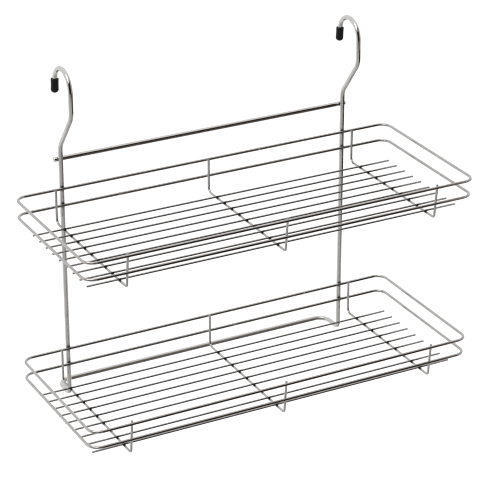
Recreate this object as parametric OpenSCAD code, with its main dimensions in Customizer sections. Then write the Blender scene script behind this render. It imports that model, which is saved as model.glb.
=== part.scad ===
// Two-tier shower caddy bent and welded from round wire. It hangs by two hooks over a rail.
// Origin: middle of the rail line, halfway between the two hooks. X along the rail, Y to the wall, Z up.

/* [Hanger frame] */
// Hanger wire diameter
hanger_d = 5; // [3:0.5:8]
// Distance between the two uprights, centre to centre
upright_span = 340; // [200:1:346]
// Hook bend radius at the wire's centre
hook_r = 20; // [12:0.5:40]
// How far each hook tip opens outwards, degrees
tip_flare = 4; // [0:0.5:15]
// Straight wire from the hook bend to the capped tip
tip_len = 10.5; // [6:0.5:30]
// Drop from the rail line to the start of the jog
shank_drop = 27; // [15:0.5:34]
// How far the jog steps back
jog_run = 32; // [0.5:0.5:60]
// Height of the jog
jog_drop = 42; // [10:0.5:48]
// Bend radius at both ends of the jog
jog_r = 18; // [6:0.5:30]
// Drop from the rail line to the wall foot
foot_drop = 362; // [332:1:600]
// How far the wall foot stands back from the uprights
foot_run = 32; // [20:0.5:60]
// Bend radius from upright to foot
foot_r = 6; // [4:0.5:15]
// Bend radius from foot to wall bar
wall_bar_r = 14; // [5:0.5:20]

/* [Top bar] */
// Top bar diameter
top_bar_d = 5; // [3:0.5:10]
// Top bar length
top_bar_len = 352; // [346:1:440]
// Drop from the rail line to the top bar
top_bar_drop = 85; // [80:0.5:110]

/* [Hook caps] */
// Cap outside diameter
cap_d = 8.6; // [7.6:0.1:14]
// Cap length
cap_len = 15.5; // [10:0.5:30]
// Rounding of the cap's closed end
cap_round = 3.6; // [1:0.1:4]
// Rubber left beyond the wire's tip
cap_end = 3; // [1:0.5:6]

/* [Shelves] */
// Rim wire diameter
rim_d = 3; // [2:0.5:6]
// Shelf width, rim centre to rim centre
shelf_w = 450; // [390:1:600]
// Shelf depth, top rim centre to centre
shelf_depth = 182; // [170:1:250]
// How much shallower the lower rim is
rim_taper = 2; // [0:0.5:8]
// Corner radius of the rims
corner_r = 12; // [6:0.5:40]
// Height between top rim and lower rim
rim_step = 19; // [10:0.5:40]
// Drop from the rail line to the upper shelf's top rim
upper_drop = 116; // [100:1:145]
// Distance from the upper shelf down to the lower shelf
shelf_pitch = 189; // [120:1:220]

/* [Shelf floor] */
// Cross wire diameter
cross_d = 2.5; // [1.5:0.1:5]
// Distance from the middle to an outer cross wire
cross_x = 179.5; // [60:0.5:210]
// How far cross wire ends stand above the top rim's centre
cross_rise = 2.5; // [1.5:0.1:10]
// Cross wire bend radius at the back
cross_back_r = 6; // [3:0.5:20]
// Cross wire bend radius at the front
cross_front_r = 4; // [3:0.5:20]
// Floor wire diameter
floor_d = 2; // [1:0.1:4]
// Floor wire length
floor_len = 432; // [364:1:580]
// Depth of the floor wires below the top rim
floor_drop = 35; // [25:0.5:80]
// Distance from the back rim to the first floor wire
floor_first = 23.5; // [12:0.5:34]
// Floor wire spacing
floor_pitch = 17; // [8:0.5:19]

/* [Welds] */
// How deep crossing wires sink into each other at a spot weld
weld_set = 0.3; // [0:0.05:0.6]

/* [Hidden] */
$fn = 48;
// Wire swells by a hair where it is bent, and each straight reaches into its bends by this bite.
swell = 0.02;
bite = 0.3;
upright_x = upright_span / 2;
upright_y = jog_run - hook_r;
jog_angle = atan2(jog_run, jog_drop);
jog_trim = jog_r * tan(jog_angle / 2);
jog_len = norm([jog_run, jog_drop]) - 2 * jog_trim;
shank_len = shank_drop - jog_trim;
upright_len = foot_drop - shank_drop - jog_drop - jog_trim - foot_r;
foot_len = foot_run - foot_r - wall_bar_r;
wall_bar_half = upright_x - wall_bar_r;
top_bar_y = upright_y + (hanger_d + top_bar_d) / 2 - weld_set;
rim_back_y = upright_y - (hanger_d + rim_d) / 2 + weld_set;
rim_to_cross = (rim_d + cross_d) / 2 - weld_set;
cross_back_y = rim_back_y - rim_to_cross;
cross_front_y = rim_back_y - shelf_depth + rim_to_cross;
cross_drop = floor_drop + (floor_d + cross_d) / 2 - weld_set;
lean = atan2(rim_taper, rim_step);
front_turn = 90 - lean;
front_trim = cross_front_r * tan(front_turn / 2);
cross_corner_y = cross_front_y + cross_drop * tan(lean);
cross_leg_len = cross_rise + cross_drop - cross_back_r;
cross_run_len = cross_back_y - cross_corner_y - cross_back_r - front_trim;
cross_front_len = (cross_rise + cross_drop) / cos(lean) - front_trim;
down_and_back = [180, 0, 90];
down_and_forward = [180, 0, -90];
up_and_back = [0, 0, 90];
steel = [0.78, 0.78, 0.77];
rubber = [0.05, 0.05, 0.05];

// Straight wire along local Z, let into the bends at both ends; children carry on from its far end.
module run(len, d) {
  translate([0, 0, -bite])
    cylinder(h = len + 2 * bite, d = d);
  translate([0, 0, len])
    children();
}

// Moves children to the end of a bend that turns from local Z towards local X.
module past_turn(angle, r) {
  translate([r, 0, 0])
    rotate([0, angle, 0])
      translate([-r, 0, 0])
        children();
}

// Bent wire that turns from local Z towards local X; children carry on from its far end.
module turn(angle, r, d) {
  translate([r, 0, 0])
    rotate([90, 0, 180])
      rotate_extrude(angle = angle)
        translate([r, 0])
          circle(r = d / 2 + swell);
  past_turn(angle, r)
    children();
}

// Places children at the top of one hook's shank, where the bend over the rail starts.
module at_shank(side) {
  translate([side * upright_x, -hook_r, 0])
    children();
}

// Half of the hanger: hook, shank, jog, upright, foot and the bend into the wall bar.
module half_hanger() {
  at_shank(-1)
    rotate(up_and_back)
      turn(180 - tip_flare, hook_r, hanger_d)
        run(tip_len, hanger_d);
  at_shank(-1)
    rotate(down_and_back)
      run(shank_len, hanger_d)
        turn(jog_angle, jog_r, hanger_d)
          run(jog_len, hanger_d)
            rotate([0, 0, 180])
              turn(jog_angle, jog_r, hanger_d)
                rotate([0, 0, 180])
                  run(upright_len, hanger_d)
                    turn(90, foot_r, hanger_d)
                      run(foot_len, hanger_d)
                        rotate([0, 0, 90])
                          turn(90, wall_bar_r, hanger_d);
}

module hanger_frame() {
  color(steel) {
    half_hanger();
    mirror([1, 0, 0])
      half_hanger();
    translate([-wall_bar_half, upright_y + foot_run, -foot_drop])
      rotate([0, 90, 0])
        run(2 * wall_bar_half, hanger_d);
  }
}

// Bar welded behind both uprights, its ends cut square.
module top_bar() {
  color(steel)
    translate([-top_bar_len / 2, top_bar_y, -top_bar_drop])
      rotate([0, 90, 0])
        cylinder(h = top_bar_len, d = top_bar_d);
}

// Outline of half a cap, open end at 0, closed end rounded.
module cap_outline() {
  square([cap_d / 2, cap_len - cap_round]);
  square([cap_d / 2 - cap_round, cap_len]);
  translate([cap_d / 2 - cap_round, cap_len - cap_round])
    intersection() {
      circle(r = cap_round);
      square(cap_round);
    }
}

// Rubber cap pushed over a hook tip.
module hook_cap(side) {
  color(rubber)
    at_shank(side)
      rotate(up_and_back)
        past_turn(180 - tip_flare, hook_r)
          translate([0, 0, tip_len + cap_end - cap_len])
            difference() {
              rotate_extrude()
                cap_outline();
              translate([0, 0, -1])
                cylinder(h = cap_len - cap_end + 1, d = hanger_d);
            }
}

module hook_cap_left() {
  hook_cap(-1);
}

module hook_cap_right() {
  hook_cap(1);
}

// Closed rounded rectangle of wire, its back side on y = 0.
module ring(w, depth, r, d) {
  for (y = [0, -depth])
    translate([r - w / 2, y, 0])
      rotate([0, 90, 0])
        cylinder(h = w - 2 * r, d = d);
  for (x = [-w / 2, w / 2])
    translate([x, -r, 0])
      rotate([90, 0, 0])
        cylinder(h = depth - 2 * r, d = d);
  for (corner = [[1, 1, 0], [-1, 1, 90], [-1, -1, 180], [1, -1, 270]])
    translate([corner[0] * (w / 2 - r), (corner[1] - 1) * depth / 2 - corner[1] * r, 0])
      rotate([0, 0, corner[2]])
        rotate_extrude(angle = 90)
          translate([r, 0])
            circle(d = d);
}

// Top rim of a shelf whose top rim lies at height z.
module top_rim(z) {
  color(steel)
    translate([0, rim_back_y, z])
      ring(shelf_w, shelf_depth, corner_r, rim_d);
}

// Lower rim of the same shelf, a little shallower at the front.
module lower_rim(z) {
  color(steel)
    translate([0, rim_back_y, z - rim_step])
      ring(shelf_w, shelf_depth - rim_taper, corner_r, rim_d);
}

// U-shaped wire inside both rims that carries the floor wires.
module cross_wire(z, x) {
  color(steel)
    translate([x, cross_back_y, z + cross_rise])
      rotate(down_and_forward)
        run(cross_leg_len, cross_d)
          turn(90, cross_back_r, cross_d)
            run(cross_run_len, cross_d)
              turn(front_turn, cross_front_r, cross_d)
                run(cross_front_len, cross_d);
}

// Straight wire lying on the three cross wires, counted from the back.
module floor_wire(z, n) {
  color(steel)
    translate([-floor_len / 2, rim_back_y - floor_first - (n - 1) * floor_pitch, z - floor_drop])
      rotate([0, 90, 0])
        cylinder(h = floor_len, d = floor_d);
}

upper_z = -upper_drop;
lower_z = -upper_drop - shelf_pitch;

module upper_top_rim() { top_rim(upper_z); }
module upper_lower_rim() { lower_rim(upper_z); }
module upper_cross_wire_left() { cross_wire(upper_z, -cross_x); }
module upper_cross_wire_middle() { cross_wire(upper_z, 0); }
module upper_cross_wire_right() { cross_wire(upper_z, cross_x); }
module upper_floor_wire_1() { floor_wire(upper_z, 1); }
module upper_floor_wire_2() { floor_wire(upper_z, 2); }
module upper_floor_wire_3() { floor_wire(upper_z, 3); }
module upper_floor_wire_4() { floor_wire(upper_z, 4); }
module upper_floor_wire_5() { floor_wire(upper_z, 5); }
module upper_floor_wire_6() { floor_wire(upper_z, 6); }
module upper_floor_wire_7() { floor_wire(upper_z, 7); }
module upper_floor_wire_8() { floor_wire(upper_z, 8); }
module upper_floor_wire_9() { floor_wire(upper_z, 9); }
module lower_top_rim() { top_rim(lower_z); }
module lower_lower_rim() { lower_rim(lower_z); }
module lower_cross_wire_left() { cross_wire(lower_z, -cross_x); }
module lower_cross_wire_middle() { cross_wire(lower_z, 0); }
module lower_cross_wire_right() { cross_wire(lower_z, cross_x); }
module lower_floor_wire_1() { floor_wire(lower_z, 1); }
module lower_floor_wire_2() { floor_wire(lower_z, 2); }
module lower_floor_wire_3() { floor_wire(lower_z, 3); }
module lower_floor_wire_4() { floor_wire(lower_z, 4); }
module lower_floor_wire_5() { floor_wire(lower_z, 5); }
module lower_floor_wire_6() { floor_wire(lower_z, 6); }
module lower_floor_wire_7() { floor_wire(lower_z, 7); }
module lower_floor_wire_8() { floor_wire(lower_z, 8); }
module lower_floor_wire_9() { floor_wire(lower_z, 9); }

hanger_frame();
top_bar();
hook_cap_left();
hook_cap_right();
upper_top_rim();
upper_lower_rim();
upper_cross_wire_left();
upper_cross_wire_middle();
upper_cross_wire_right();
upper_floor_wire_1();
upper_floor_wire_2();
upper_floor_wire_3();
upper_floor_wire_4();
upper_floor_wire_5();
upper_floor_wire_6();
upper_floor_wire_7();
upper_floor_wire_8();
upper_floor_wire_9();
lower_top_rim();
lower_lower_rim();
lower_cross_wire_left();
lower_cross_wire_middle();
lower_cross_wire_right();
lower_floor_wire_1();
lower_floor_wire_2();
lower_floor_wire_3();
lower_floor_wire_4();
lower_floor_wire_5();
lower_floor_wire_6();
lower_floor_wire_7();
lower_floor_wire_8();
lower_floor_wire_9();
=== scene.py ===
# %% [markdown]
# A two-tier shower caddy, bent and welded from bright plated steel wire. Two hooks drop over a
# rail, a foot bar leans on the wall below, and each tier is a shallow tray: two wire hoops, three
# U-shaped cross wires that hold them apart, and nine thin floor wires that stick out at the sides.
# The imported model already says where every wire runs. This script draws the same wires again as a
# maker would see them: drawn steel under chrome, with cut ends, butt seams and little weld beads.

# %% The frame
import math

import bmesh
import bpy
import numpy as np
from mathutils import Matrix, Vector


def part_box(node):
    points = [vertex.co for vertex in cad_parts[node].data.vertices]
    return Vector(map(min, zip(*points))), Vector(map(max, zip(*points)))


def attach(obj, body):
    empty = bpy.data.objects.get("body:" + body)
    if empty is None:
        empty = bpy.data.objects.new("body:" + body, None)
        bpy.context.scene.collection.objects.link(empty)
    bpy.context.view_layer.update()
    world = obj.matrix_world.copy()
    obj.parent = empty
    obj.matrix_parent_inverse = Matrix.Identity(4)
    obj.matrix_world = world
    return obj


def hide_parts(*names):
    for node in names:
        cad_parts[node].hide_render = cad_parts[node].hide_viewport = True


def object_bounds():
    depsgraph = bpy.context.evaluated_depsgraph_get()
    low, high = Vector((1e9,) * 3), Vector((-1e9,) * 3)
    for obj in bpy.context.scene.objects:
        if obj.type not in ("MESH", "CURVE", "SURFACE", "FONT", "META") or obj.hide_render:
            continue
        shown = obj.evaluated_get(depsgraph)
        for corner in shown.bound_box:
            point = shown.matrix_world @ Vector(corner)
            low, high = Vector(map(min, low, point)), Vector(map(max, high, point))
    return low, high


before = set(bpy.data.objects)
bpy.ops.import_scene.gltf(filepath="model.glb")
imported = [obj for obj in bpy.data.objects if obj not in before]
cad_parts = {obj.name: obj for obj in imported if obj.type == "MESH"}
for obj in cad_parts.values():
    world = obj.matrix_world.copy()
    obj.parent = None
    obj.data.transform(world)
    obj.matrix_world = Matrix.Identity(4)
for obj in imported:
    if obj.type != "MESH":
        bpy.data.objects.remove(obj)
cad_low, cad_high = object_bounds()
MM = 0.001


def in_mm(values):
    """The same lengths in millimetres, rounded for printing."""
    return [round(value / MM, 1) for value in values]


print("object box, mm:", in_mm(cad_low), in_mm(cad_high))


# %% [markdown]
# The camera comes first, because the light is judged through it. It is a long lens a few steps away,
# to the left of the caddy and a little above it. A lens this long keeps the two trays nearly the same
# size, as in a catalogue picture. Its place is worked out from the middle of the object's box: so far
# back along the line of sight, and a few millimetres sideways and down to frame the trays evenly.

# %% Camera
LENS = 160.2
TURN = math.radians(27.94)
RISE = math.radians(24.99)
DISTANCE = 2.335
SLIDE = 0.0076
DROP = 0.0168


def sight_axes(turn, rise):
    """Unit vectors of a camera that stands turn to the left and rise above: right, up and backwards."""
    right = np.array([math.cos(turn), -math.sin(turn), 0.0])
    back = np.array([-math.sin(turn) * math.cos(rise), -math.cos(turn) * math.cos(rise), math.sin(rise)])
    return right, np.cross(back, right), back


def add_camera():
    """Stands the camera back from the middle of the object's box and points it along the sight line."""
    right, up, back = sight_axes(TURN, RISE)
    middle = (np.array(cad_low) + np.array(cad_high)) / 2
    camera = bpy.data.objects.new("camera", bpy.data.cameras.new("camera"))
    camera.data.lens = LENS
    camera.data.clip_end = 50
    camera.location = middle + back * DISTANCE + right * SLIDE - up * DROP
    camera.rotation_euler = (math.pi / 2 - RISE, 0, -TURN)
    bpy.context.scene.collection.objects.link(camera)
    bpy.context.scene.camera = camera
    return camera


camera = add_camera()
print("camera at, m:", [round(v, 3) for v in camera.location])


# %% [markdown]
# Shader maths reads best as a sum on paper, so one small class wraps a node's output and lets Python's
# own signs add the Math nodes. Everything that isn't plain arithmetic comes from one method, which
# takes the node's type, its settings and what goes into its sockets. The same class serves the
# studio's light, the plated steel and the rubber.

# %% Node graphs
class Value:
    """One output of a node. Arithmetic on it adds the Math node that works the result out."""

    def __init__(self, graph, socket):
        self.graph = graph
        self.socket = socket

    def math(self, operation, *values):
        """A Math node's result; the values may be numbers or other outputs."""
        return self.graph.node("ShaderNodeMath", {"operation": operation}, values)

    def __add__(self, other):
        return self.math("ADD", self, other)

    def __sub__(self, other):
        return self.math("SUBTRACT", self, other)

    def __rsub__(self, other):
        return self.math("SUBTRACT", other, self)

    def __mul__(self, other):
        return self.math("MULTIPLY", self, other)

    __radd__ = __add__
    __rmul__ = __mul__

    def top(self, other):
        """The larger of the two values."""
        return self.math("MAXIMUM", self, other)


class Graph:
    """The node tree of a material or of the world, emptied and ready to be filled."""

    def __init__(self, owner):
        owner.use_nodes = True
        self.tree = owner.node_tree
        self.tree.nodes.clear()

    def node(self, kind, settings=None, inputs=(), output=0):
        """Adds a node of that type, sets it up, fills its sockets, and returns one of its outputs."""
        made = self.tree.nodes.new(kind)
        for name, setting in (settings or {}).items():
            setattr(made, name, setting)
        pairs = inputs.items() if isinstance(inputs, dict) else enumerate(inputs)
        for key, value in pairs:
            if isinstance(value, Value):
                self.tree.links.new(value.socket, made.inputs[key])
            else:
                made.inputs[key].default_value = value
        return Value(self, made.outputs[output]) if len(made.outputs) else made

    def step(self, value, start, end, low=0.0, high=1.0):
        """Rises smoothly from low to high as value goes from start to end."""
        settings = {"interpolation_type": "SMOOTHSTEP"}
        return self.node("ShaderNodeMapRange", settings, (value, start, end, low, high))

    def mix(self, share, first, second):
        """Colour that goes from first to second as share goes from 0 to 1."""
        made = {0: share, 6: first, 7: second}
        return self.node("ShaderNodeMix", {"data_type": "RGBA"}, made, output=2)

    def noise(self, vector, scale, detail=2.0, roughness=0.5):
        """Soft noise from 0 to 1 about a half, with features of about 1 / scale."""
        made = {"Vector": vector, "Scale": scale, "Detail": detail, "Roughness": roughness}
        return self.node("ShaderNodeTexNoise", {}, made)

    def stretch(self, vector, scale):
        """The vector with each of its parts multiplied by scale's."""
        settings = {"operation": "MULTIPLY"}
        return self.node("ShaderNodeVectorMath", settings, (vector, scale))


print("node graph helper ready")


# %% [markdown]
# The studio. The rack hangs in the air, so the floor is a wide pale plane well below it, which fills
# the picture evenly and takes no shadow worth seeing. Bright plate has no colour of its own: it shows
# the room, so the room matters more than any lamp. Behind the rack and above it hangs white paper, each
# side has a soft grey wall, and the front, where the camera stands, is dark. That draws black lines
# along the wires that run across, keeps the wires that run to the back pale, and leaves the uprights in
# between. Everything but a mirror sees plain pale paper wherever it looks.

# %% Floor
FLOOR_GAP = 1.2
FLOOR_SIZE = 40.0
PAPER_ROUGHNESS = 0.9


def pale_paper():
    """Matt white paper with a faint mottle."""
    paper = bpy.data.materials.new("pale_paper")
    graph = Graph(paper)
    place = graph.node("ShaderNodeTexCoord", output=3)
    mottle = graph.noise(place, 3.0)
    white = graph.mix(mottle, (0.93, 0.93, 0.93, 1), (0.97, 0.97, 0.97, 1))
    made = {"Base Color": white, "Roughness": PAPER_ROUGHNESS}
    shader = graph.node("ShaderNodeBsdfPrincipled", {}, made)
    graph.node("ShaderNodeOutputMaterial", {}, (shader,))
    return paper


def add_floor():
    """One wide square under the object. Mirrors don't see it, so the wires show the room's own light."""
    half = FLOOR_SIZE / 2
    level = cad_low.z - FLOOR_GAP
    corners = [(-half, -half, level), (half, -half, level), (half, half, level), (-half, half, level)]
    mesh = bpy.data.meshes.new("floor")
    mesh.from_pydata(corners, [], [(0, 1, 2, 3)])
    mesh.materials.append(pale_paper())
    floor = bpy.data.objects.new("floor", mesh)
    floor.visible_glossy = False
    bpy.context.scene.collection.objects.link(floor)


add_floor()
print("floor at, m:", round(cad_low.z - FLOOR_GAP, 3))

# %% Room light
WHITE = (1.0, 1.0, 1.0, 1)
ROOM_WARMTH = (1.0, 0.66, 0.42, 1)
ROOM_DARK, PLAIN_FROM = 0.024, 0.5
PAPER_WHITE = 1.15
CEILING, CEILING_EDGE = 0.78, (0.74, 0.87)
BACKDROP, BACKDROP_EDGE = 0.76, (-0.10, 0.25)
SIDE_WALL, LEFT_EDGE, RIGHT_EDGE = 0.47, (0.35, 0.23), (0.47, 0.60)
CAMERA_END_Y, CAMERA_END_Z = (-0.20, -0.45), (-0.38, -0.24)
SHARPNESS = 1.2


def light_the_room():
    """The world's colour by direction, as bright plate sees it: each wall is a soft-edged patch, and the
    brightest one wins. The left wall stops short of the camera's end. What is dark is a little warm."""
    world = bpy.data.worlds.new("studio")
    bpy.context.scene.world = world
    graph = Graph(world)
    direction = graph.node("ShaderNodeTexCoord")
    x, y, z = (graph.node("ShaderNodeSeparateXYZ", {}, (direction,), output=i) for i in range(3))
    ceiling = graph.step(z, *CEILING_EDGE, 0.0, CEILING)
    backdrop = graph.step(y, *BACKDROP_EDGE, 0.0, BACKDROP)
    round_camera = graph.step(y, *CAMERA_END_Y) * graph.step(z, *CAMERA_END_Z)
    left = graph.step(x, *LEFT_EDGE, 0.0, SIDE_WALL) * (1 - round_camera)
    right = graph.step(x, *RIGHT_EDGE, 0.0, SIDE_WALL)
    room = ceiling.top(backdrop).top(left).top(right).top(ROOM_DARK)
    warm_to_plain = graph.mix(graph.step(room, 0.0, PLAIN_FROM), ROOM_WARMTH, WHITE)
    mirrored = graph.node("ShaderNodeLightPath", output=3)
    paper = graph.node("ShaderNodeBackground", {}, (WHITE, PAPER_WHITE))
    walls = graph.node("ShaderNodeBackground", {}, (warm_to_plain, room))
    both = graph.node("ShaderNodeMixShader", {}, (mirrored, paper, walls))
    graph.node("ShaderNodeOutputWorld", {}, (both,))
    bpy.context.scene.view_settings.view_transform = "Standard"
    bpy.context.scene.cycles.filter_width = SHARPNESS


light_the_room()
print("room lit: ceiling", CEILING, "backdrop", BACKDROP, "sides", SIDE_WALL, "dark end", ROOM_DARK)


# %% [markdown]
# A photographer who wants a crisp black line down a bright tube stands a strip of black card beside it.
# Here the strip is bent round the front right of the rack, below it, and it fades out at its sides and
# its bottom. It is near enough for height to matter: the hooks look down on it and get their line, and
# the feet of the frame look past under it and stay pale.

# %% Black card
CARD_RADIUS = 1.2
CARD_LEFT, CARD_RIGHT = math.radians(-78), math.radians(30)
CARD_TOP, CARD_BOTTOM = -0.38, -0.80
CARD_COLUMNS, CARD_ROWS = 43, 25
CARD_FADE = 0.14
CARD_SINK = 0.20


def card_mesh():
    """The strip as a grid on a cylinder, with its cover from 1 to 0 as an attribute. The cover is the
    smooth step 3 w^2 - 2 w^3 of the way out w, which is the nearer of: the turn to either side over
    CARD_FADE, and the height over the bottom over CARD_SINK."""
    turns = np.linspace(CARD_LEFT, CARD_RIGHT, CARD_COLUMNS)
    across, down = np.meshgrid(turns, np.linspace(CARD_TOP, CARD_BOTTOM, CARD_ROWS))
    points = np.stack([CARD_RADIUS * np.cos(across), CARD_RADIUS * np.sin(across), down], -1)
    sideways = np.minimum(across - CARD_LEFT, CARD_RIGHT - across) / CARD_FADE
    way_out = np.clip(np.minimum(sideways, (down - CARD_BOTTOM) / CARD_SINK), 0, 1)
    place = np.arange(across.size).reshape(across.shape)
    quads = np.stack([place[:-1, :-1], place[:-1, 1:], place[1:, 1:], place[1:, :-1]], -1)
    mesh = bpy.data.meshes.new("black_card")
    mesh.from_pydata(points.reshape(-1, 3).tolist(), [], quads.reshape(-1, 4).tolist())
    cover = mesh.attributes.new("cover", "FLOAT", "POINT")
    cover.data.foreach_set("value", (way_out**2 * (3 - 2 * way_out)).astype(np.float32).ravel())
    return mesh


def card_black():
    """The dark end's own light where the card covers, and nothing at all where it doesn't."""
    black = bpy.data.materials.new("black_card")
    graph = Graph(black)
    share = graph.node("ShaderNodeAttribute", {"attribute_name": "cover"}, output=2)
    clear = graph.node("ShaderNodeBsdfTransparent")
    dull = graph.node("ShaderNodeEmission", {}, (ROOM_WARMTH, ROOM_DARK))
    both = graph.node("ShaderNodeMixShader", {}, (share, clear, dull))
    graph.node("ShaderNodeOutputMaterial", {}, (both,))
    return black


def add_black_card():
    """Stands the strip in the studio, where only mirrors see it."""
    mesh = card_mesh()
    mesh.materials.append(card_black())
    card = bpy.data.objects.new("black_card", mesh)
    for ray in ("camera", "diffuse", "shadow", "transmission"):
        setattr(card, f"visible_{ray}", False)
    bpy.context.scene.collection.objects.link(card)
    return card


card = add_black_card()
print("black card faces:", len(card.data.polygons))

# %% Soft lamp
LAMP_POWER = 30.0
LAMP_SIZE = 2.4
LAMP_PLACE = (-1.6, -1.2, 2.6)


def add_lamp():
    """A big square lamp high on the left lights the floor paper and the rubber caps."""
    lamp = bpy.data.objects.new("soft_lamp", bpy.data.lights.new("soft_lamp", "AREA"))
    lamp.data.size = LAMP_SIZE
    lamp.data.energy = LAMP_POWER
    lamp.location = LAMP_PLACE
    aim = np.array(cad_low + cad_high) / 2 - np.array(LAMP_PLACE)
    tilt = math.atan2(math.hypot(aim[0], aim[1]), -aim[2])
    lamp.rotation_euler = (tilt, 0, math.atan2(-aim[0], aim[1]))
    bpy.context.scene.collection.objects.link(lamp)


add_lamp()
print("lamp at, m:", LAMP_PLACE)


# %% [markdown]
# Every part here is one length of wire, bent on a bench. A curve object with a round bevel would do
# it, but it can't keep a true record of how far along the wire and how far round it each point is, and
# the drawn finish needs both. So the bench below works in numpy: it keeps the wire's end point, its
# heading and one side direction, and each straight run or bend adds a whole array of rings at once.
# A bend turns all three about the bend's own axis, which carries the rings round without any twist.

# %% Bending bench
BEND_STEP = math.radians(6)


def unit(vector):
    """The vector divided by its own length."""
    return np.asarray(vector, float) / np.linalg.norm(vector)


class Bench:
    """A wire being bent. lines holds, for each ring, its centre, heading, side and distance along."""

    def __init__(self, start, heading, side):
        self.point = np.asarray(start, float)
        self.heading = unit(heading)
        self.side = unit(side)
        self.length = 0.0
        self.lines = [self.row(self.point[None], self.heading[None], self.side[None], np.zeros(1))]

    @staticmethod
    def row(points, headings, sides, lengths):
        """Rings as one array: centre, heading and side, three numbers each, and the distance along."""
        return np.hstack([points, headings, sides, lengths[:, None]])

    def run(self, length, rings=2):
        """Straight on by length: point plus heading times the distance."""
        far = np.linspace(0, length, rings)[1:, None]
        ones = np.ones_like(far)
        points = self.point + far * self.heading
        lengths = self.length + far[:, 0]
        self.lines.append(self.row(points, ones * self.heading, ones * self.side, lengths))
        self.point = points[-1]
        self.length += length
        return self

    def turn(self, angle, radius, axis):
        """A bend about axis: the point moves by radius times (sin a heading + (1 - cos a) inward), and
        heading and side turn with it, as Rodrigues' formula turns a vector about an axis."""
        axis = unit(axis)
        inward = np.cross(axis, self.heading)
        a = np.linspace(0, angle, max(3, round(angle / BEND_STEP) + 1))[1:, None]
        points = self.point + radius * (np.sin(a) * self.heading + (1 - np.cos(a)) * inward)
        headings = np.cos(a) * self.heading + np.sin(a) * inward
        lift = (axis @ self.side) * axis
        sides = np.cos(a) * self.side + np.sin(a) * np.cross(axis, self.side) + (1 - np.cos(a)) * lift
        self.lines.append(self.row(points, headings, sides, self.length + radius * a[:, 0]))
        self.point, self.heading, self.side = points[-1], headings[-1], sides[-1]
        self.length += radius * angle
        return self

    def corner(self, corner, beyond, radius):
        """Runs up to the corner and bends there to head for the point beyond it."""
        corner, beyond = np.asarray(corner, float), np.asarray(beyond, float)
        after = unit(beyond - corner)
        angle = math.acos(np.clip(self.heading @ after, -1, 1))
        self.run(np.linalg.norm(corner - self.point) - radius * math.tan(angle / 2))
        return self.turn(angle, radius, np.cross(self.heading, after))

    def end(self, point):
        """Runs straight to the wire's last point."""
        return self.run(np.linalg.norm(np.asarray(point, float) - self.point))

    def rings(self):
        """All rings of the wire, one row each."""
        return np.vstack(self.lines)


print("bench ready, a ring every", round(math.degrees(BEND_STEP)), "degrees of bend")


# %% [markdown]
# A ring is a circle in the plane of its side direction and the one square to it. Joining the rings of
# a wire gives a grid of points, rings one way and places round the ring the other. One function turns
# any such grid into a mesh, so the wires, the caps and the weld beads all go through it. Rings that
# shrink to a point close an end, and their points are merged. Each point also keeps where it lies on
# the wire, as an attribute: two numbers round it and one along, all in metres and without a seam. A
# second attribute says how dark a weld paints it there. That darkening is partly scorch from the weld,
# partly painted shade in the crossings and painted reflection of the rims on the uprights.

# %% Grid to mesh
MERGE = 1e-7
CREASE = math.radians(38)


def grid_faces(rows, columns, loop):
    """Quads of a grid that is closed round its columns, and round its rows too where loop is true."""
    row = np.arange(rows if loop else rows - 1)[:, None]
    column = np.arange(columns)[None, :]
    ahead, beside = (row + 1) % rows, (column + 1) % columns
    edges = [(row, column), (row, beside), (ahead, beside), (ahead, column)]
    quads = [np.broadcast_to(i * columns + j, (row.size, columns)) for i, j in edges]
    return np.stack(quads, -1).reshape(-1, 4)


def build_piece(name, grids, material, loop=False):
    """Makes one object of one or more grids of the same size. A grid is an array of rings, each with
    its points, and a point is its place, three numbers, then its place on the wire, three more, then
    how near it is to a weld, one."""
    grids = np.asarray(grids, float)
    count, rows, columns, _ = grids.shape
    faces = grid_faces(rows, columns, loop)
    faces = (np.arange(count)[:, None, None] * rows * columns + faces).reshape(-1, 4)
    points = grids.reshape(-1, 7)
    mesh = bpy.data.meshes.new(name)
    mesh.from_pydata(points[:, :3].tolist(), [], faces.tolist())
    drawn = mesh.attributes.new("drawn", "FLOAT_VECTOR", "POINT")
    drawn.data.foreach_set("vector", points[:, 3:6].astype(np.float32).ravel())
    weld_darkening = mesh.attributes.new("weld_scorch_and_shade", "FLOAT", "POINT")
    weld_darkening.data.foreach_set("value", points[:, 6].astype(np.float32))
    shell = bmesh.new()
    shell.from_mesh(mesh)
    bmesh.ops.remove_doubles(shell, verts=shell.verts, dist=MERGE)
    bmesh.ops.recalc_face_normals(shell, faces=shell.faces)
    shell.to_mesh(mesh)
    shell.free()
    mesh.shade_smooth()
    mesh.set_sharp_from_angle(angle=CREASE)
    mesh.materials.append(material)
    piece = bpy.data.objects.new(name, mesh)
    bpy.context.scene.collection.objects.link(piece)
    return piece


# %% Rings to grid
SCAN_STEP = 0.5 * MM
WELD_MARK_STATIONS = np.linspace(-1.5, 1.5, 7)
CHAMFER_FAR, CHAMFER_DEEP = 0.3, 0.32


def nearness(points, welds):
    """How much the welds darken each point: exp(-2 (gap / reach)^2) for the weld that darkens it most,
    where a weld is its spot, three numbers, and the reach of its dark mark, one. The mark is partly weld
    scorch, partly painted shade and painted reflection."""
    gap = np.linalg.norm(points[:, :, None] - welds[None, None, :, :3], axis=-1) / welds[:, 3]
    return np.exp(-2 * gap.min(-1) ** 2)


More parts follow.
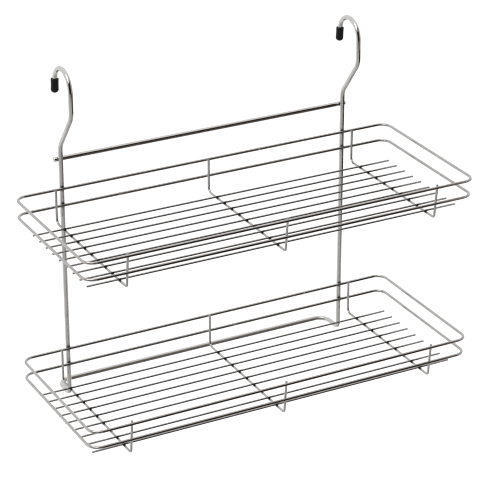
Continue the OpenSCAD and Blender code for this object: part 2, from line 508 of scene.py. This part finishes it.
def round_wire(rings, radii, sides, welds):
    """Grid of a round wire. Each ring is centre + r (cos a side + sin a across), where across is
    heading x side. radii holds one radius for each ring."""
    centre, heading, side, far = rings[:, :3], rings[:, 3:6], rings[:, 6:9], rings[:, 9]
    across = np.cross(heading, side)
    a = np.linspace(0, 2 * math.pi, sides, endpoint=False)
    cos, sin = np.cos(a)[None, :, None], np.sin(a)[None, :, None]
    r = np.asarray(radii)[:, None]
    points = centre[:, None] + r[..., None] * (cos * side[:, None] + sin * across[:, None])
    along = np.broadcast_to(far[:, None], (len(r), sides))
    drawn = np.stack([r * np.cos(a), r * np.sin(a), along], -1)
    return np.concatenate([points, drawn, nearness(points, welds)[..., None]], -1)


def at_lengths(rings, lengths):
    """Rings at these distances along, read off between the given ones."""
    return np.stack([np.interp(lengths, rings[:, 9], rings[:, k]) for k in range(10)], -1)


def weld_stations(rings, welds, diameter):
    """Distances along the wire at and on both sides of each weld that lies on it, so that the finish
    round the weld has rings to sit on."""
    dense = np.linspace(0, rings[-1, 9], max(2, int(rings[-1, 9] / SCAN_STEP)))
    centres = at_lengths(rings, dense)[:, :3]
    gap = np.linalg.norm(centres[:, None] - welds[None, :, :3], axis=-1)
    near = gap.min(0) < diameter
    return [dense[gap.argmin(0)[near]] + share * welds[near, 3] for share in WELD_MARK_STATIONS]


def cut_wire(rings, diameter, sides, welds, chamfer):
    """A wire with two sheared ends: a flat face, a small worn edge and then the full radius."""
    length, radius = rings[-1, 9], diameter / 2
    near = np.sort(np.concatenate([rings[1:-1, 9], *weld_stations(rings, welds, diameter)]))
    near = near[(near > 2 * chamfer) & (near < length - 2 * chamfer)]
    edge = np.array([0.0, 0.0, CHAMFER_FAR * chamfer, chamfer])
    edge_radii = np.array([0.0, radius - chamfer, radius - CHAMFER_DEEP * chamfer, radius])
    far = np.concatenate([edge, near, length - edge[::-1]])
    radii = np.concatenate([edge_radii, np.full(near.size, radius), edge_radii[::-1]])
    return round_wire(at_lengths(rings, far), radii, sides, welds)


print("wire skins ready")


# %% [markdown]
# The plate is bright nickel and chromium over drawn steel. Under a glass it isn't a perfect mirror:
# the die leaves hair lines along the wire, the plate adds a fine ripple like orange peel, and bending
# and polishing leave slow waves. Round each weld the colour is painted a dull dark brown. Part of that
# is the scorch of a weld plated over; the rest is painted shade in the crossings of the floor wires and
# painted reflection of the rims on the uprights. Most of that is worked out from where a point lies on
# its wire, so it follows each bend. The wall bar is also scuffed where it rubs on the tiles. The thin
# floor wires get a darker base colour, painted shade for the little light that reaches them low in the
# tray.

# %% Plated steel
HAIR, PEEL, WAVE, MOTTLE = 5200.0, 1500.0, 260.0, 70.0
HAIR_STRETCH, WAVE_STRETCH = (1, 1, 0.02), (1, 1, 0.35)
# The dark colour, edge and cover of the weld marks: part weld scorch, part painted shade and painted
# reflection.
SCORCH_AND_SHADE_EDGE, SCORCH_AND_SHADE_COVER, SCORCH_ROUGHNESS = (0.12, 0.75), 0.95, 0.28
SCORCH_AND_SHADE = (0.050, 0.042, 0.036, 1)
SCUFF_EDGE, SCUFF_ROUGHNESS = (0.030, 0.041), 0.20
PLATE_RELIEF = 0.012 * MM


def plated_steel(name, bright, shade, polish):
    """Bright plate. Colour and roughness vary with slow mottle, hair lines and the dark marks round the
    welds, which are part weld scorch, part painted shade and painted reflection; polish is the roughness
    of its clearest parts."""
    steel = bpy.data.materials.new(name)
    graph = Graph(steel)
    place = graph.node("ShaderNodeTexCoord", output=3)
    drawn = graph.node("ShaderNodeAttribute", {"attribute_name": "drawn"}, output=1)
    weld_darkening = graph.node("ShaderNodeAttribute", {"attribute_name": "weld_scorch_and_shade"}, output=2)
    hair = graph.noise(graph.stretch(drawn, HAIR_STRETCH), HAIR, 3.0)
    peel = graph.noise(place, PEEL, 2.0)
    wave = graph.noise(graph.stretch(drawn, WAVE_STRETCH), WAVE, 1.0)
    mottle = graph.noise(place, MOTTLE, 4.0, 0.6)
    # Dark mark round each weld: part scorch, part painted shade in crossings and painted reflection on
    # uprights.
    scorch_and_shade = graph.step(weld_darkening + (peel - 0.5) * 0.3, *SCORCH_AND_SHADE_EDGE)
    depth = graph.node("ShaderNodeSeparateXYZ", {}, (place,), output=1)
    scuff = graph.step(depth + (wave - 0.5) * 0.004, *SCUFF_EDGE)
    clean = graph.mix(graph.step(mottle, 0.35, 0.75), (*bright, 1), (*shade, 1))
    colour = graph.mix(scorch_and_shade * SCORCH_AND_SHADE_COVER, clean, SCORCH_AND_SHADE)
    dull = scorch_and_shade * SCORCH_ROUGHNESS + scuff * SCUFF_ROUGHNESS
    roughness = polish + graph.step(mottle, 0.4, 0.8) * 0.06 + (hair - 0.5) * 0.06 + dull
    height = hair * 0.25 + peel * 0.35 + wave * 2.0 + scorch_and_shade * (peel - 0.5) * 3.0
    made = {"Strength": 1.0, "Distance": PLATE_RELIEF, "Height": height}
    normal = graph.node("ShaderNodeBump", {}, made)
    made = {"Base Color": colour, "Metallic": 1.0, "Roughness": roughness, "Normal": normal}
    shader = graph.node("ShaderNodeBsdfPrincipled", {}, made)
    graph.node("ShaderNodeOutputMaterial", {}, (shader,))
    return steel


POLISH = 0.08
FRAME_PLATE = plated_steel("plated_frame_wire", (0.80, 0.785, 0.76), (0.74, 0.72, 0.69), POLISH)
SHELF_PLATE = plated_steel("plated_shelf_wire", (0.64, 0.63, 0.615), (0.56, 0.55, 0.535), POLISH)
# The floor wires' darker base colour is painted shade: they lie low in the tray and get less light from
# above.
SHADED_FLOOR_PLATE = plated_steel("plated_floor_wire_painted_shade", (0.50, 0.49, 0.475), (0.42, 0.41, 0.40), POLISH)
print("plated finishes:", FRAME_PLATE.name, SHELF_PLATE.name, SHADED_FLOOR_PLATE.name)


# %% [markdown]
# The two caps are soft black rubber. Rubber is matt, but not evenly so: handling polishes its high
# places, dust and plating salts dull the rest, and the mould leaves a fine grain.

# %% Rubber
GRAIN, DUST_PATCH = 2600.0, 380.0
RUBBER_BLACK, RUBBER_DUSTY = (0.004, 0.004, 0.0045, 1), (0.012, 0.0115, 0.011, 1)
RUBBER_SHEEN = 0.25
RUBBER_RELIEF = 0.05 * MM


def cap_rubber():
    """Black rubber with a fine moulded grain, paler and duller where dust lies."""
    rubber = bpy.data.materials.new("cap_rubber")
    graph = Graph(rubber)
    place = graph.node("ShaderNodeTexCoord", output=3)
    grain = graph.noise(place, GRAIN, 3.0, 0.6)
    patch = graph.noise(place, DUST_PATCH, 3.0, 0.6)
    dust = graph.step(patch + (grain - 0.5) * 0.5, 0.45, 0.80)
    colour = graph.mix(dust, RUBBER_BLACK, RUBBER_DUSTY)
    roughness = 0.42 + dust * 0.28 + (grain - 0.5) * 0.15
    made = {"Strength": 0.8, "Distance": RUBBER_RELIEF, "Height": grain + patch * 0.6}
    normal = graph.node("ShaderNodeBump", {}, made)
    made = {"Base Color": colour, "Roughness": roughness, "Normal": normal}
    made["Specular IOR Level"] = RUBBER_SHEEN
    shader = graph.node("ShaderNodeBsdfPrincipled", {}, made)
    graph.node("ShaderNodeOutputMaterial", {}, (shader,))
    return rubber


RUBBER = cap_rubber()
print("rubber finish:", RUBBER.name)


# %% [markdown]
# Before any wire is bent, the bench needs to know where the wires touch. The model's boxes say so: the
# middle line of a wire is its box less half its thickness. Both shelves follow one set of rules, so
# each is read into the same small record of heights, depths and widths.

# %% Reading the frame
SHELVES = ("upper", "lower")
PLACES = ("left", "middle", "right")
FLOOR_WIRES = 9
HANGER_WIRE = 5.0 * MM
WELD_SET = 0.3 * MM


def corners(node):
    """Low and high corner of a CAD node as arrays."""
    return [np.array(corner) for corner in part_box(node)]


def hoop_lines(node):
    """Middle lines of a flat hoop: half its width, its back and front, its height and its thickness."""
    low, high = corners(node)
    thick = high[2] - low[2]
    half = thick / 2
    return {
        "x": high[0] - half,
        "back": high[1] - half,
        "front": low[1] + half,
        "z": low[2] + half,
        "d": thick,
    }


def read_shelf(shelf):
    """Where the wires of one shelf run, all from the boxes of its nodes."""
    top, lower = hoop_lines(f"{shelf}_top_rim"), hoop_lines(f"{shelf}_lower_rim")
    crosses = [corners(f"{shelf}_cross_wire_{place}") for place in PLACES]
    low, high = crosses[0]
    cross_d = high[0] - low[0]
    floors = [corners(f"{shelf}_floor_wire_{i + 1}") for i in range(FLOOR_WIRES)]
    return {
        "top": top,
        "lower": lower,
        "lean": math.atan2(lower["front"] - top["front"], top["z"] - lower["z"]),
        "cross_x": [(low[0] + high[0]) / 2 for low, high in crosses],
        "cross_d": cross_d,
        "cross_z": low[2] + cross_d / 2,
        "cross_y": high[1] - cross_d / 2,
        "floor_y": [(low[1] + high[1]) / 2 for low, high in floors],
        "floor_x": floors[0][1][0],
        "floor_z": (floors[0][0][2] + floors[0][1][2]) / 2,
        "floor_d": floors[0][1][2] - floors[0][0][2],
    }


def read_hanger():
    """Where the hanger runs: upright, hook and wall bar lines from its own box and the top bar's."""
    low, high = corners("hanger_frame")
    bar_low, bar_high = corners("top_bar")
    half = HANGER_WIRE / 2
    return {
        "x": high[0] - half,
        "hook": high[2] - half,
        "upright_y": bar_low[1] + WELD_SET - half,
        "wall_y": high[1] - half,
        "foot_z": low[2] + half,
        "bar_x": bar_high[0],
        "bar_y": (bar_low[1] + bar_high[1]) / 2,
        "bar_z": (bar_low[2] + bar_high[2]) / 2,
    }


shelves = {shelf: read_shelf(shelf) for shelf in SHELVES}
hanger = read_hanger()
print("hanger, mm:", {name: round(value / MM, 1) for name, value in hanger.items()})
print("shelf lean, degrees:", round(math.degrees(shelves["upper"]["lean"]), 2))


# %% [markdown]
# Every joint on the caddy is a resistance weld: two wires are squeezed together and a pulse of current
# melts them into each other. That leaves a small squashed bead in the corners between them. A weld is
# kept as the spot where the wires touch, how far its dark mark reaches on the wires, the directions of
# both wires, and half the size of its bead. The mark is a little weld scorch with painted light added.
# The floor wire welds reach furthest, as painted shade in the crossings. The upright and top bar welds
# reach nearly as far, as a painted reflection of the rims. The rim welds reach least.

# %% Weld places
BEAD_SPREAD = 0.92
BEAD_HEIGHT = 0.42
RIM_HEAT = 1.2 * MM
# Wide reaches: painted shade in the floor crossings and painted reflection of the rims on the uprights,
# over a little scorch.
FLOOR_SCORCH_AND_SHADE_REACH = 5.0 * MM
UPRIGHT_SCORCH_AND_SHADE_REACH = 4.6 * MM


def weld(spot, weld_darkening, first, second, first_d, second_d):
    """One weld: its spot, how far its dark mark reaches (weld scorch with painted shade and painted
    reflection), the two wires' unit directions, and its bead's three half sizes. The bead reaches along
    each wire as far as the other wire is thick, and is flat between them."""
    first, second = unit(first), unit(second)
    flat = BEAD_HEIGHT * min(first_d, second_d) / 2
    halves = (BEAD_SPREAD * second_d / 2, BEAD_SPREAD * first_d / 2, flat)
    return np.concatenate([spot, [weld_darkening], first, second, halves])


def rim_welds(s):
    """Each cross wire is welded to both rims, at the back and at the front, on the inside."""
    upright, leaning = (0, 0, 1), (0, -math.sin(s["lean"]), math.cos(s["lean"]))
    made = []
    for x in s["cross_x"]:
        for rim in (s["top"], s["lower"]):
            touch = (rim["d"] - WELD_SET) / 2
            for y, leg in ((rim["back"] - touch, upright), (rim["front"] + touch, leaning)):
                spot = (x, y, rim["z"])
                made.append(weld(spot, RIM_HEAT, (1, 0, 0), leg, rim["d"], s["cross_d"]))
    return np.array(made)


def floor_welds(s):
    """Each floor wire lies on the three cross wires and is welded to each of them."""
    z = s["floor_z"] - (s["floor_d"] - WELD_SET) / 2
    spots = [(x, y, z) for y in s["floor_y"] for x in s["cross_x"]]
    sizes = (s["floor_d"], s["cross_d"])
    return np.array([weld(spot, FLOOR_SCORCH_AND_SHADE_REACH, (1, 0, 0), (0, 1, 0), *sizes) for spot in spots])


def upright_welds(s):
    """Both rims are welded to the front of the two uprights."""
    made = []
    for x in (-hanger["x"], hanger["x"]):
        for rim in (s["top"], s["lower"]):
            spot = (x, rim["back"] + (rim["d"] - WELD_SET) / 2, rim["z"])
            made.append(weld(spot, UPRIGHT_SCORCH_AND_SHADE_REACH, (1, 0, 0), (0, 0, 1), rim["d"], HANGER_WIRE))
    return np.array(made)


def bar_welds():
    """The top bar is welded across the back of the uprights."""
    y = hanger["upright_y"] + (HANGER_WIRE - WELD_SET) / 2
    spots = [(x, y, hanger["bar_z"]) for x in (-hanger["x"], hanger["x"])]
    sizes = (HANGER_WIRE, HANGER_WIRE)
    return np.array([weld(spot, UPRIGHT_SCORCH_AND_SHADE_REACH, (1, 0, 0), (0, 0, 1), *sizes) for spot in spots])


welds = {}
for shelf in SHELVES:
    welds[f"{shelf}_rim_welds"] = rim_welds(shelves[shelf])
    welds[f"{shelf}_floor_welds"] = floor_welds(shelves[shelf])
    welds[f"{shelf}_upright_welds"] = upright_welds(shelves[shelf])
welds["top_bar_welds"] = bar_welds()
spots = np.vstack(list(welds.values()))[:, :4]
print(len(spots), "welds")


# %% [markdown]
# The hanger is the one wire that carries everything. It starts at the tip of the left hook, goes over
# the rail, down a short shank, cranks back towards the wall, runs down as the upright, turns back as
# the foot, crosses behind the lower shelf as the wall bar, and mirrors all of it on the right.
# Bending it as one piece keeps the bends flowing into each other, as they do from a wire bender.

# %% Hanger frame
TIP_FLARE = math.radians(4)
TIP_LENGTH = 10.5 * MM
SHANK_DROP = 27 * MM
CRANK_DROP = 42 * MM
CRANK_BEND = 18 * MM
FOOT_BEND = 6 * MM
WALL_BEND = 14 * MM
CUT_EDGE = 0.45 * MM
FRAME_SIDES = 24


def finish(piece, slot, *nodes):
    """Seats a finished piece in the frame: it rides on the one body and stands for its CAD nodes."""
    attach(piece, "root")
    if nodes:
        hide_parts(*nodes)
    print(piece.name, len(piece.data.polygons), "faces")
    return piece


def hook_tip(side):
    """End of a hook's wire: from the hook's arc, which stops TIP_FLARE short of a half circle, straight
    on by TIP_LENGTH. Returns the point and the direction in which the tip points."""
    flare = np.array([0, math.sin(TIP_FLARE), -math.cos(TIP_FLARE)])
    arc_end = hanger["hook"] * np.array([0, math.cos(TIP_FLARE), math.sin(TIP_FLARE)])
    return np.array([side * hanger["x"], 0, 0]) + arc_end + TIP_LENGTH * flare, flare


def hanger_rings():
    """The whole hanger from tip to tip. The bends between the hooks are the corners of one outline."""
    x, hook, y, back, foot = (hanger[k] for k in ("x", "hook", "upright_y", "wall_y", "foot_z"))
    half = [(-hook, -SHANK_DROP), (y, -SHANK_DROP - CRANK_DROP), (y, foot), (back, foot)]
    bends = [CRANK_BEND, CRANK_BEND, FOOT_BEND, WALL_BEND]
    outline = [(-x, *point) for point in half] + [(x, *point) for point in half[::-1]]
    outline.append((x, -hook, 0))
    tip, flare = hook_tip(-1)
    bench = Bench(tip, -flare, (1, 0, 0)).run(TIP_LENGTH)
    bench.turn(math.pi - TIP_FLARE, hook, (1, 0, 0))
    for corner, beyond, bend in zip(outline, outline[1:], bends + bends[::-1]):
        bench.corner(corner, beyond, bend)
    bench.end(outline[-1])
    bench.turn(math.pi - TIP_FLARE, hook, (-1, 0, 0)).run(TIP_LENGTH)
    return bench.rings()


hanger_line = hanger_rings()
hanger_wire = cut_wire(hanger_line, HANGER_WIRE, FRAME_SIDES, spots, CUT_EDGE)
finish(build_piece("hanger_wire", [hanger_wire], FRAME_PLATE), "plated_frame_wire", "hanger_frame")
print("hanger wire is", round(hanger_line[-1, 9], 3), "m long")


# %% [markdown]
# The top bar is a straight length of the same wire across the back of both uprights. It stops the
# frame racking. It was cropped from stock, so its ends are flat with a small worn edge.

# %% Top bar
bar_start = (-hanger["bar_x"], hanger["bar_y"], hanger["bar_z"])
bar_line = Bench(bar_start, (1, 0, 0), (0, 1, 0)).run(2 * hanger["bar_x"]).rings()
bar_wire = cut_wire(bar_line, HANGER_WIRE, FRAME_SIDES, spots, CUT_EDGE)
finish(build_piece("cross_bar_wire", [bar_wire], FRAME_PLATE), "plated_frame_wire", "top_bar")


# %% [markdown]
# A rim is a hoop: a wire bent round four corners until its two ends meet at the back, where they are
# pushed together and welded. The push leaves a low collar at the seam. A hoop has no cut ends, so its
# rings close on themselves. The seams are at different places, since nobody lines them up.

# %% Rims
RIM_BEND = 12 * MM
RIM_SIDES = 20
SEAM_RISE = 0.16
SEAM_WIDTH = 0.9 * MM
SEAM_STATIONS = np.linspace(0, 2.5, 9)
SEAM_PLACES = {"upper_top": 0.062, "upper_lower": -0.105, "lower_top": 0.121, "lower_lower": 0.031}


def hoop_wire(rings, diameter, sides, welds):
    """A closed wire. Its radius swells at the seam by SEAM_RISE times exp of minus the squared distance
    from the seam in seam widths."""
    length = rings[-1, 9]
    seam = SEAM_STATIONS * SEAM_WIDTH
    stations = weld_stations(rings, welds, diameter)
    far = np.concatenate([rings[1:-1, 9], *stations, seam, length - seam[1:]])
    far = np.unique(far.round(7))
    apart = np.minimum(far, length - far)
    radii = diameter / 2 * (1 + SEAM_RISE * np.exp(-((apart / SEAM_WIDTH) ** 2)))
    return round_wire(at_lengths(rings, far), radii, sides, welds)


def add_rim(shelf, level):
    """One hoop, from its seam round to the right, front, left and back again."""
    rim = shelves[shelf][level]
    seam = (SEAM_PLACES[f"{shelf}_{level}"], rim["back"], rim["z"])
    x, back, front, z = rim["x"], rim["back"], rim["front"], rim["z"]
    outline = [(x, back, z), (x, front, z), (-x, front, z), (-x, back, z), seam]
    bench = Bench(seam, (1, 0, 0), (0, 0, 1))
    for corner, beyond in zip(outline, outline[1:]):
        bench.corner(corner, beyond, RIM_BEND)
    rings = bench.end(seam).rings()
    wire = hoop_wire(rings, rim["d"], RIM_SIDES, spots)
    piece = build_piece(f"{shelf}_{level}_hoop", [wire], SHELF_PLATE, loop=True)
    return finish(piece, "plated_shelf_wire", f"{shelf}_{level}_rim")


for shelf in SHELVES:
    for level in ("top", "lower"):
        add_rim(shelf, level)


# %% [markdown]
# A cross wire is a wide U. Its back leg stands straight, its front leg leans out with the taper of the
# rims, and both legs end just above the top rim, where the stubs can be felt with a finger.

# %% Cross wires
CROSS_RISE = 2.5 * MM
CROSS_BACK_BEND = 6 * MM
CROSS_FRONT_BEND = 4 * MM
CROSS_EDGE = 0.3 * MM
CROSS_SIDES = 18


def add_cross(shelf, place, x):
    """One U: down at the back, along under the floor wires, and up the leaning front."""
    s = shelves[shelf]
    top = s["top"]["z"] + CROSS_RISE
    front = s["top"]["front"] + (s["top"]["d"] + s["cross_d"]) / 2 - WELD_SET
    slope = math.tan(s["lean"])
    start = (x, s["cross_y"], top)
    heel = (x, s["cross_y"], s["cross_z"])
    toe = (x, front + (s["top"]["z"] - s["cross_z"]) * slope, s["cross_z"])
    end = (x, front - CROSS_RISE * slope, top)
    bench = Bench(start, (0, 0, -1), (1, 0, 0))
    bench.corner(heel, toe, CROSS_BACK_BEND).corner(toe, end, CROSS_FRONT_BEND).end(end)
    wire = cut_wire(bench.rings(), s["cross_d"], CROSS_SIDES, spots, CROSS_EDGE)
    piece = build_piece(f"{shelf}_{place}_support", [wire], SHELF_PLATE)
    return finish(piece, "plated_shelf_wire", f"{shelf}_cross_wire_{place}")


for shelf in SHELVES:
    for place, x in zip(PLACES, shelves[shelf]["cross_x"]):
        add_cross(shelf, place, x)


# %% [markdown]
# The floor wires are the thinnest, cut straight from the coil. They lie across the supports and stick
# out past them at both sides, with bare cropped ends.

# %% Floor wires
FLOOR_EDGE = 0.25 * MM
FLOOR_SIDES = 16


def add_floor_wire(shelf, number):
    """One straight wire, from its left end to its right end."""
    s = shelves[shelf]
    start = (-s["floor_x"], s["floor_y"][number], s["floor_z"])
    rings = Bench(start, (1, 0, 0), (0, 0, 1)).run(2 * s["floor_x"]).rings()
    wire = cut_wire(rings, s["floor_d"], FLOOR_SIDES, spots, FLOOR_EDGE)
    piece = build_piece(f"{shelf}_slat_{number + 1}", [wire], SHADED_FLOOR_PLATE)
    return finish(piece, "plated_shelf_wire", f"{shelf}_floor_wire_{number + 1}")


for shelf in SHELVES:
    for number in range(FLOOR_WIRES):
        add_floor_wire(shelf, number)


# %% [markdown]
# The beads are what the squeeze leaves: flattened drops of steel, a little uneven, plated over with
# the rest. Each one is an ellipsoid on the two wires' directions, with a low three-cornered wave. The
# beads at the rims keep the bright plate. The others are painted the dark weld mark: painted shade in
# the crossings and painted reflection on the uprights, over a little weld scorch.

# %% Weld beads
BEAD_WAVE = 0.10
BEAD_RINGS = 9
BEAD_SIDES = 14


def bead_grids(group, weld_darkening):
    """Ellipsoids: spot + sin t (a cos p first + b sin p second) + c cos t square, with the first two
    half sizes waved by 1 + BEAD_WAVE sin(3 p + start) sin t. t runs from pole to pole, p runs round.
    weld_darkening is how dark the bead is painted, from 0 to 1: painted shade and painted reflection
    over a little weld scorch."""
    spot, first, second, halves = (group[:, i:i + 3][:, None, None] for i in (0, 4, 7, 10))
    square = np.cross(first, second)
    t = np.linspace(0, math.pi, BEAD_RINGS)[None, :, None, None]
    p = np.linspace(0, 2 * math.pi, BEAD_SIDES, endpoint=False)[None, None, :, None]
    start = 1.7 * np.arange(len(group))[:, None, None, None]
    wave = 1 + BEAD_WAVE * np.sin(3 * p + start) * np.sin(t)
    flat = halves[..., 0:1] * np.cos(p) * first + halves[..., 1:2] * np.sin(p) * second
    points = spot + np.sin(t) * wave * flat + halves[..., 2:3] * np.cos(t) * square
    marks = np.full((*points.shape[:3], 1), weld_darkening)
    return np.concatenate([points, points - spot, marks], -1)


for name, group in welds.items():
    # Rim beads stay bright; the rest take the dark mark, mostly painted shade and painted reflection.
    weld_darkening = 0.0 if name.endswith("rim_welds") else 1.0
    finish(build_piece(name, bead_grids(group, weld_darkening), SHELF_PLATE), "plated_shelf_wire")


# %% [markdown]
# Each hook ends in a black rubber cap, pushed on so that the cut wire can't scratch. The mouth is flat
# with a soft lip, the wall is a touch waisted where it grips, and the far end is rounded over. The
# mould was in two halves, so a hair-thin ridge runs down both sides.

# %% Hook caps
CAP_LENGTH = 15.5 * MM
CAP_END = 3 * MM
CAP_ROUND = 3.6 * MM
CAP_SIDES = 72
CAP_WAIST = 0.03
WALL_START = 0.12
LIP = 0.45 * MM
MOUTH = 2.2 * MM
MOUTH_EDGE = 0.3 * MM
BORE_GAP = 0.06 * MM
RIDGE, RIDGE_WIDTH = 0.07 * MM, 0.07


def cap_profile(radius):
    """Depth below the mouth and radius, from inside the mouth, over the lip, down the wall and round
    the end. The wall draws in by CAP_WAIST as half a sine wave, and lip and end are quarter circles."""
    bore = HANGER_WIRE / 2 + BORE_GAP
    a = np.linspace(0, math.pi / 2, 5)
    b = np.linspace(0, math.pi / 2, 11)[1:]
    wall = np.linspace(WALL_START, 1, 12)
    reach = CAP_LENGTH - CAP_ROUND
    mouth = [[MOUTH, 0], [MOUTH, bore], [MOUTH_EDGE, bore], [0, bore + MOUTH_EDGE]]
    edge = np.stack([LIP * (1 - np.cos(a)), radius - LIP * (1 - np.sin(a))], -1)
    grip = np.stack([wall * reach, radius * (1 - CAP_WAIST * np.sin(math.pi * wall))], -1)
    end = np.stack([reach + CAP_ROUND * np.sin(b), radius - CAP_ROUND * (1 - np.cos(b))], -1)
    return np.vstack([mouth, edge, grip, end, [[CAP_LENGTH, 0]]])


def add_cap(name, side):
    """The profile turned about the hook's tip, with a ridge on both sides: RIDGE times
    exp(-(sin a / RIDGE_WIDTH)^2) at angle a. The mouth and the tip have no ridge."""
    low, high = corners(f"hook_cap_{name}")
    tip, axis = hook_tip(side)
    across = np.array([1.0, 0, 0])
    depth, radius = cap_profile((high[0] - low[0]) / 2 - RIDGE).T
    a = np.linspace(0, 2 * math.pi, CAP_SIDES, endpoint=False)
    ridge = RIDGE * np.exp(-((np.sin(a) / RIDGE_WIDTH) ** 2))
    bore = HANGER_WIRE / 2 + BORE_GAP
    outside = (depth >= MOUTH_EDGE) & (radius > 1.05 * bore) & (depth < CAP_LENGTH)
    r = radius[:, None] + ridge[None] * outside[:, None]
    mouth = tip + (CAP_END - CAP_LENGTH) * axis
    turned = np.cos(a)[:, None] * across + np.sin(a)[:, None] * np.cross(axis, across)
    points = mouth + depth[:, None, None] * axis + r[..., None] * turned
    grid = np.concatenate([points, points - mouth, np.zeros((*r.shape, 1))], -1)
    piece = build_piece(f"rubber_cap_{name}", [grid], RUBBER)
    return finish(piece, "cap_rubber", f"hook_cap_{name}")


add_cap("left", -1)
add_cap("right", 1)
